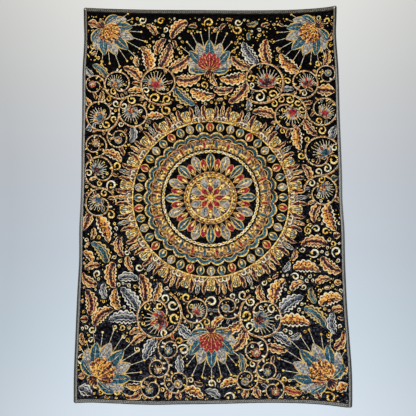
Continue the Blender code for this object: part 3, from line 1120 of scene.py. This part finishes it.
def fill_gaps(cover, dice):
    """Fills what is left with loose leaves, curls and knots, the largest first."""
    for size, tries in FILL_SIZES:
        for _ in range(tries):
            start = dice.uniform(-FIELD_SIDE, FIELD_SIDE), dice.uniform(FIELD_BOTTOM, FIELD_TOP)
            heading, hand = dice.uniform(0, TURN), dice.choice((1, -1))
            if dice.random() < openness(start[1]):
                continue
            if size > LEAVES_ONLY or size > CURLS_ONLY and dice.random() > curl_share(start[1]):
                try_leaf(start, heading, 1.1 * size, hand * 1.4, 0, cover, dice)
            else:
                try_curl(start, heading, size, hand, 0, cover, dice)
    for _ in range(KNOT_TRIES):
        x, y = dice.uniform(-FIELD_SIDE, FIELD_SIDE), dice.uniform(FIELD_BOTTOM, FIELD_TOP)
        size = dice.uniform(1.0, 1.7)
        dot = np.array(((x, y), (x + 0.5, y)))
        if cover.crowding(dot, size, 1.2) == 0:
            knot(x, y, size)
            cover.mark(dot, size, 1.0)


DESIGN_SEED = 11
# Bare ground along the upper binding, in mm
BARE_TOP = 5.0


def weave_design():
    """Draws the whole design: the medallion, the large flowers, the vine, its leaves and the filling."""
    dice = random.Random(DESIGN_SEED)
    cover = Cover()
    medallion()
    cover.mark_round(*MEDALLION, MEDALLION_RADIUS)
    set_flowers(cover)
    scrolls = grow_scrolls(dice)
    for i, scroll in enumerate(scrolls):
        draw_vine(scroll, VINE_FLOWERS[i % len(VINE_FLOWERS)], cover)
    edge = np.linspace(-FIELD_SIDE, FIELD_SIDE, 400)
    cover.mark(np.stack((edge, np.full_like(edge, FIELD_TOP)), axis=1), BARE_TOP)
    grow_leaves(scrolls, cover, dice)
    fill_gaps(cover, dice)


# The cloth

CLOTH_STEPS_ACROSS = 150
CLOTH_STEPS_DOWN = 225


def woven_panel(face, reverse):
    """The cloth, with its face and its reverse, on the soft ridges in which it hangs."""
    inset_x, inset_y = WIDTH / 2 - CUT_EDGE_INSET, CUT_EDGE_INSET
    xs = np.linspace(-inset_x, inset_x, CLOTH_STEPS_ACROSS + 1)
    ys = np.linspace(-inset_y, -HEIGHT + inset_y, CLOTH_STEPS_DOWN + 1)
    grid_x, grid_y = np.meshgrid(xs, ys)
    layers = [
        np.stack((grid_x, grid_y, np.full_like(grid_x, level)), axis=2).reshape(-1, 3)
        for level in (0.0, CLOTH_BACK - CLOTH_FRONT)
    ]
    points = np.vstack(layers)
    rows, columns = grid_x.shape
    index = np.arange(rows * columns).reshape(rows, columns)
    quads = (index[:-1, :-1], index[1:, :-1], index[1:, 1:], index[:-1, 1:])
    front = np.stack(quads, axis=2).reshape(-1, 4)
    back = front[:, ::-1] + rows * columns
    rim = np.concatenate((index[0, :], index[1:, -1], index[-1, -2::-1], index[-2:0:-1, 0]))
    ahead = np.roll(rim, -1)
    sides = np.stack((rim, ahead, ahead + rows * columns, rim + rows * columns), axis=1)
    mesh = bpy.data.meshes.new("woven_cloth")
    mesh.from_pydata(points.tolist(), [], np.vstack((front, back, sides)).tolist())
    behind = len(back) + len(sides)
    mesh.polygons.foreach_set("material_index", [0] * len(front) + [1] * behind)
    store(mesh, "worked", WORKED.share_at(points[:, :2]))
    hang_mesh(mesh)
    mesh.shade_smooth()
    mesh.set_sharp_from_angle(angle=math.radians(40))
    return add_piece("woven_cloth", mesh, face, reverse)


# The binding

# Columns: start and end of the edge, across and down as shares, turn from the x axis to the way
# inwards, width of the binding, and how much of it shows dark beside the stitches, in mm.
EDGES = {
    "binding_top": ((-1, 0), (1, 0), -TURN / 4, TOP_BINDING, 2.2),
    "binding_bottom": ((-1, 1), (1, 1), TURN / 4, BOTTOM_BINDING, 1.5),
    "binding_left": ((-1, 0), (-1, 1), 0.0, SIDE_BINDING, 0.8),
    "binding_right": ((1, 0), (1, 1), TURN / 2, SIDE_BINDING, 1.0),
}
# The chain's inset and half width, as shares of the width that is stitched
CROSS_CHAIN = (0.66, 0.25)
SIDE_CHAIN = (0.79, 0.14)
# How far the wraps and the chain stop short of an edge's ends, in mm
WRAPS_SHORT = 1.6
CHAIN_SHORT = 3.2
CORE_STEPS = 110

# The small pale knots at the upper corners, where the binding's yarn is fastened off.
# Columns: across, height and level of the middle in mm, then the knot's size.
FASTENINGS = ((-294.4, -5.6, 2.3, 0.55), (293.2, -5.0, 2.3, 0.65))
FASTENING_POINTS = 42


def edge_ends(start, end):
    """The flat ends of an edge's line. The upper and lower bindings stop at the side ones."""
    half = WIDTH / 2 - (SIDE_BINDING if start[0] != end[0] else 0.0)
    return np.array([(across * half, -down * HEIGHT, 0.0) for across, down in (start, end)])


def binding_core(title, ends, turn, width, material):
    """The folded padding under the yarn: a U over the cloth's cut edge."""
    inwards = np.array((math.cos(turn), math.sin(turn), 0.0))
    # Inset from the edge and level, in mm: the front leg, the back leg, then the round nose
    section = [
        (width - 0.6, 0.45), (width - 0.3, 0.2), (width - 0.3, 0.12), (1.4, 0.12),
        (1.4, -1.12), (width - 0.3, -1.12), (width - 0.3, -1.3), (width - 0.6, -1.6),
    ]
    for angle in np.linspace(0.15, math.pi - 0.15, 7):
        section.append((1.2 - 0.75 * math.sin(angle), -0.58 - 1.03 * math.cos(angle)))
    near_corner = np.linspace(0.0, CORNER_RADIUS, 5)[:-1] / np.linalg.norm(ends[1] - ends[0])
    between = np.linspace(CORNER_RADIUS / HEIGHT, 1 - CORNER_RADIUS / HEIGHT, CORE_STEPS)
    shares = np.concatenate((near_corner, between, 1 - near_corner[::-1]))
    points = []
    for share in shares:
        place = ends[0] + share * (ends[1] - ends[0])
        points += [place + inset * inwards + (0.0, 0.0, level) for inset, level in section]
    count, last = len(section), len(points) - len(section)
    faces = [
        (r + i, r + (i + 1) % count, r + count + (i + 1) % count, r + count + i)
        for r in range(0, last, count)
        for i in range(count)
    ]
    faces += [tuple(range(count)), tuple(range(last, last + count))]
    mesh = bpy.data.meshes.new(title + "_core")
    mesh.from_pydata(np.array(points).tolist(), [], faces)
    hang_mesh(mesh)
    tidy_normals(mesh)
    return add_piece(title + "_core", mesh, material)


def edge_line(title, ends, short):
    """The line along an edge on which yarn is repeated. It stops short of both ends, in mm."""
    step = short * (ends[1] - ends[0]) / np.linalg.norm(ends[1] - ends[0])
    mesh = bpy.data.meshes.new(title + "_line")
    mesh.from_pydata([ends[0] + step, ends[1] - step], [(0, 1)], [])
    return mesh


def fastening_paths():
    """An overhand knot drawn tight, as a closed trefoil path, at each upper corner."""
    t = TURN * np.arange(FASTENING_POINTS) / FASTENING_POINTS
    trefoil = (np.sin(t) + 2 * np.sin(2 * t), np.cos(t) - 2 * np.cos(2 * t), -np.sin(3 * t))
    trefoil = np.stack(trefoil, axis=1)
    points = np.vstack([trefoil * size + place for *place, size in FASTENINGS])
    edges = [
        (first + i, first + (i + 1) % FASTENING_POINTS)
        for first in range(0, len(points), FASTENING_POINTS)
        for i in range(FASTENING_POINTS)
    ]
    mesh = bpy.data.meshes.new("fastening_paths")
    mesh.from_pydata(points.tolist(), edges, [])
    return mesh


# Stage, light and camera

# The floor lies below the cloth, up to a straight edge behind it, in m
FLOOR = -1.8
FLOOR_BACK = 1.3
FLOOR_SIDE = 60.0
FLOOR_COLOUR = "#d9dde0"
# The pale room, from below the cloth to above it
ROOM_TONES = ("#d4dfe9", "#cad7e1", "#c6cfd9", "#c8cdd4", "#d0d2d3", "#dddeda")
# Columns: name, place, aim, size in m, power in W, spread in degrees, colour
LIGHTS = (
    ("upper_light", (-0.9, -1.9, 0.9), (0.0, 0.0, -0.3), 1.4, 26.2, 180, "#fff3e2"),
    ("low_light", (0.5, -1.6, -1.1), (0.0, 0.0, -0.78), 0.9, 5.4, 120, "#cfe0ff"),
)
# The camera, 0.94 m in front of the cloth and tilted a little upwards. Its turn is in degrees.
CAMERA_PLACE = (0.0185, -0.9386, -0.5594)
CAMERA_TURN = (95.47, 0.1, 1.4)
SENSOR = 36.0
LENS = 36.10


def stage():
    """A plain pale floor below, and two soft lights."""
    place = (0.0, FLOOR_BACK - FLOOR_SIDE / 2, FLOOR)
    bpy.ops.mesh.primitive_plane_add(size=FLOOR_SIDE, location=place)
    floor = bpy.context.active_object
    floor.name = "floor"
    plain, _, shader = new_material("pale_floor", 0.9)
    shader.inputs["Base Color"].default_value = linear(FLOOR_COLOUR)
    floor.data.materials.append(plain)
    for name, place, aim, size, watts, spread, colour in LIGHTS:
        lamp = bpy.data.lights.new(name, "AREA")
        lamp.size, lamp.energy, lamp.spread = size, watts, math.radians(spread)
        lamp.color = linear(colour)[:3]
        light = bpy.data.objects.new(name, lamp)
        light.location = place
        light.rotation_euler = (Vector(aim) - Vector(place)).to_track_quat("-Z", "Y").to_euler()
        bpy.context.scene.collection.objects.link(light)
    bpy.context.scene.view_settings.view_transform = "Standard"


def pale_room():
    """A soft pale surround, cooler low down, and a little darker to the sides."""
    world = bpy.data.worlds.new("pale_room")
    bpy.context.scene.world = world
    world.use_nodes = True
    tree = world.node_tree
    aim = add_node(tree, "ShaderNodeTexCoord").outputs["Generated"]
    aim = add_node(tree, "ShaderNodeSeparateXYZ", {"Vector": aim}).outputs
    links = {"Value": aim["Z"], "From Min": -0.33, "From Max": 0.67}
    share = add_node(tree, "ShaderNodeMapRange", links).outputs[0]
    ramp = add_node(tree, "ShaderNodeValToRGB", {"Fac": share})
    pale = set_tones(ramp, ROOM_TONES, "LINEAR")
    sideways = weighed_sum(tree, 0.0, (aim["X"], aim["X"]))
    links = {"Value": sideways, "From Min": 0.04, "From Max": 0.2, "To Min": 1.06, "To Max": 0.82}
    strength = add_node(tree, "ShaderNodeMapRange", links).outputs[0]
    tree.links.new(pale, tree.nodes["Background"].inputs["Color"])
    tree.links.new(strength, tree.nodes["Background"].inputs["Strength"])


def camera():
    """The camera, at the photograph's viewing angle."""
    lens = bpy.data.cameras.new("camera")
    lens.sensor_width = SENSOR
    lens.lens = LENS
    viewer = bpy.data.objects.new("camera", lens)
    viewer.location = CAMERA_PLACE
    viewer.rotation_euler = [math.radians(turn) for turn in CAMERA_TURN]
    bpy.context.scene.collection.objects.link(viewer)
    bpy.context.scene.camera = viewer


# Putting it together


def weave_cloth():
    """The cloth, and the raised floats on it, one piece for each thread."""
    cloth = woven_panel(ground_cloth(), cloth_reverse())
    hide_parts("woven_panel")
    floats = []
    for thread, look in THREAD_LOOKS.items():
        paths = THREADS[thread].mesh(thread)
        if thread == "grain":
            piece = run_tree("float_grain", paths, grain_tree(woven(*look)))
        else:
            across = 5 if thread in BROAD_THREADS else 3
            tree = raised_float_tree(woven(*look))
            piece = run_tree("float_" + thread, paths, tree, points_across=across)
        floats.append(piece)
    return cloth, floats


def stitch_binding():
    """The core, wraps and chain of each edge, and the knots at the upper corners."""
    yarns = [binding_yarn(name, tones) for name, tones in YARN_TONES_WITH_PAINTED_LIGHT.items()]
    core_yarn, wrap_yarn, chain_yarn, fastening_yarn = yarns
    trims = []
    for title, (start, end, turn, width, seam) in EDGES.items():
        ends = edge_ends(start, end)
        stitched = width - seam
        core = binding_core(title, ends, turn, width, core_yarn)
        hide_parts(title)
        line = edge_line(title, ends, WRAPS_SHORT)
        sizes = {"reach": stitched - 0.4, "nose_handle": (0.5 - 0.25 * stitched) / 0.75}
        wraps = run_tree(title + "_wraps", line, wrap_tree(wrap_yarn), turn=turn, **sizes)
        line = edge_line(title, ends, CHAIN_SHORT)
        inset, half_width = SIDE_CHAIN if width == SIDE_BINDING else CROSS_CHAIN
        sizes = {"inset": inset * stitched, "half_width": half_width * stitched}
        chain = run_tree(title + "_chain", line, chain_tree(chain_yarn), turn=turn, **sizes)
        trims += [core, wraps, chain]
    trims.append(run_tree("binding_fastenings", fastening_paths(), fastening_tree(fastening_yarn)))
    return trims


def build():
    """Makes the whole scene."""
    camera()
    stage()
    pale_room()
    weave_design()
    cloth, floats = weave_cloth()
    trims = stitch_binding()
    for piece in (cloth, *floats, *trims):
        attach(piece, "root")


build()
